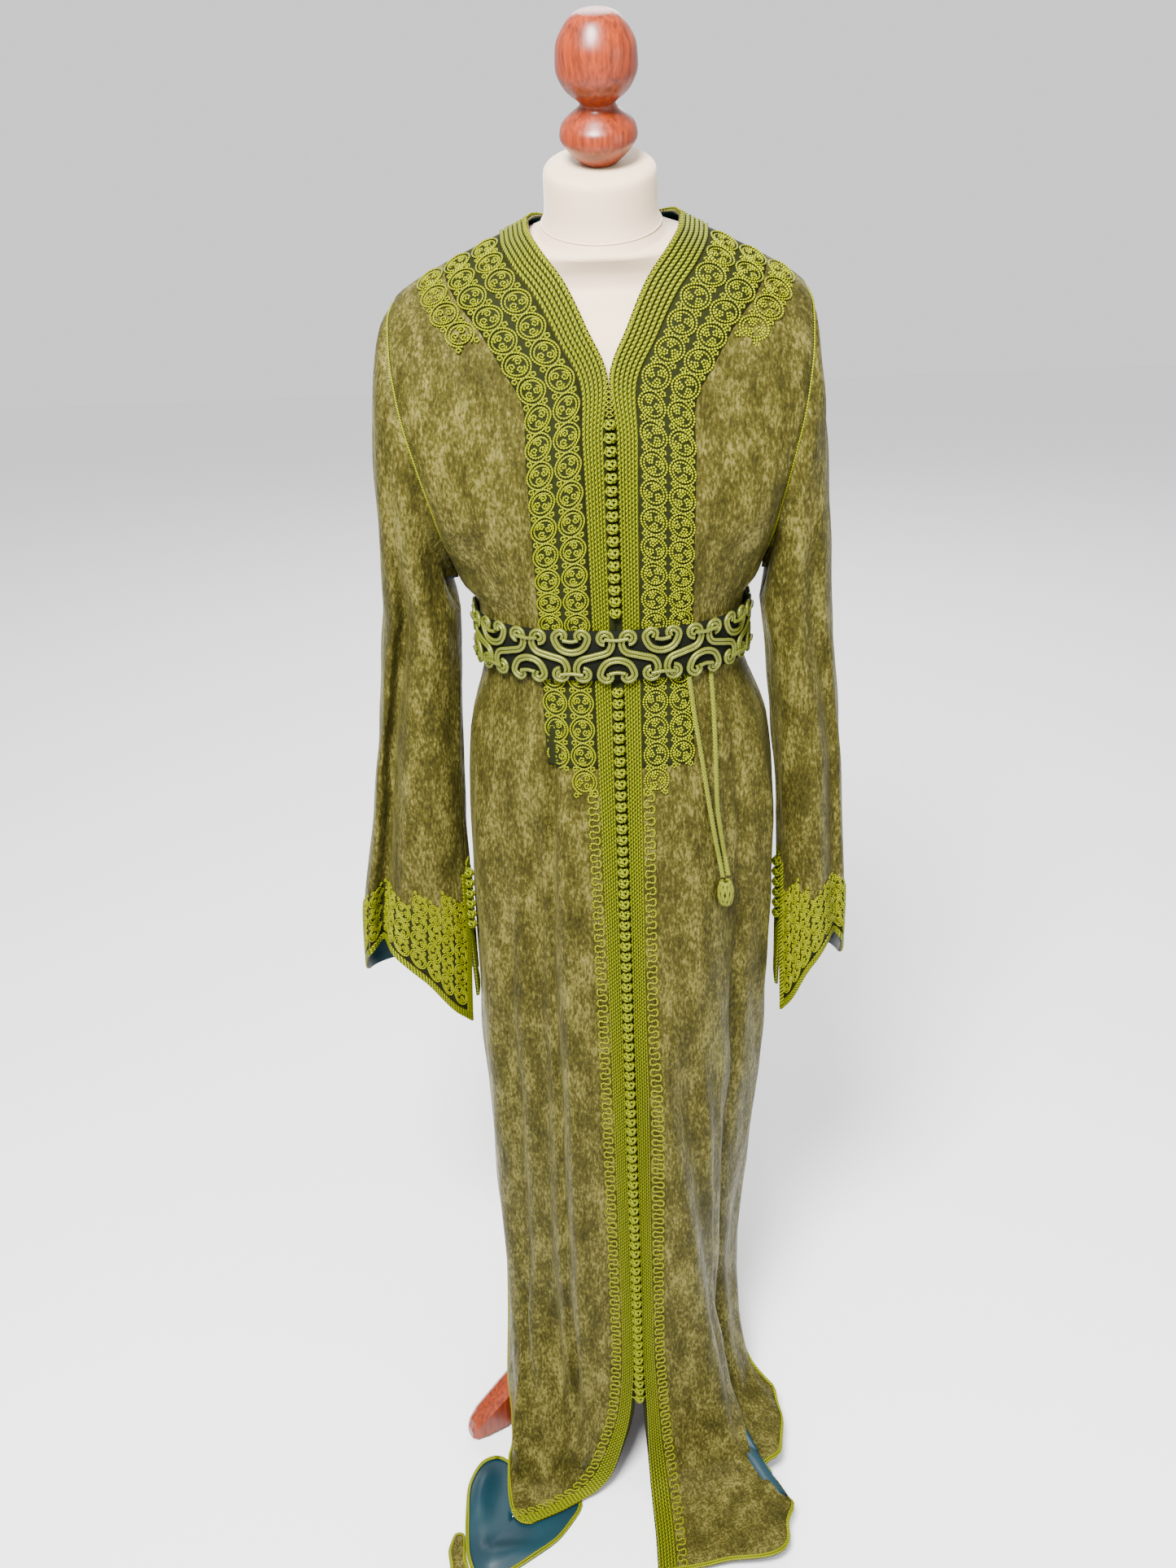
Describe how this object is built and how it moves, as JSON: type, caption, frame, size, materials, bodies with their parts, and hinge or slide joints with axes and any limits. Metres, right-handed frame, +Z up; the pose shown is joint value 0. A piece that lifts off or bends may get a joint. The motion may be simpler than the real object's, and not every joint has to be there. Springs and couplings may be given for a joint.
{
  "type": "moroccan kaftan on a dress form stand",
  "caption": "Long open-front velvet kaftan with braided edges, corded belt and bell sleeves, hanging to the floor on a limbless dress form with a wooden tripod stand.",
  "frame": {"origin": "middle of the object's outline at the floor", "axes": "+Z up; the garment's front faces -Y; +X is the viewer's right"},
  "size_m": [0.544, 0.69, 1.5851],
  "materials": {
    "crushed_velvet": "crushed olive gold velvet with a rayon pile",
    "braid_lime": "plaited silk braid and knotted silk cord, lime green",
    "embroidery_green": "couched silk cord on velvet",
    "satin_cord": "satin-wrapped cord, olive green with a sheen",
    "lining_teal": "smooth teal satin lining",
    "form_jersey": "cream cotton jersey over a firm form",
    "mahogany": "satin varnished mahogany"
  },
  "bodies": {
    "root": {"front_right": "crushed_velvet", "front_left": "crushed_velvet", "back_right": "crushed_velvet", "back_left": "crushed_velvet", "sleeve_right": "crushed_velvet", "sleeve_left": "crushed_velvet", "hem_turnback": "crushed_velvet", "sfifa_right": "braid_lime", "sfifa_left": "braid_lime", "knots_upper": "braid_lime", "knots_lower": "braid_lime", "cuff_knots_right": "braid_lime", "cuff_knots_left": "braid_lime", "embroidery_right": "embroidery_green", "embroidery_left": "embroidery_green", "cuff_right": "embroidery_green", "cuff_left": "embroidery_green", "belt": "satin_cord", "tie_cord_a": "satin_cord", "tie_cord_b": "satin_cord", "tie_knot": "satin_cord", "lining_turnback": "lining_teal", "form_torso": "form_jersey", "finial": "mahogany", "stand_pole": "mahogany", "stand_hub": "mahogany", "stand_leg_1": "mahogany", "stand_leg_2": "mahogany", "stand_leg_3": "mahogany"}
  },
  "joints": []
}
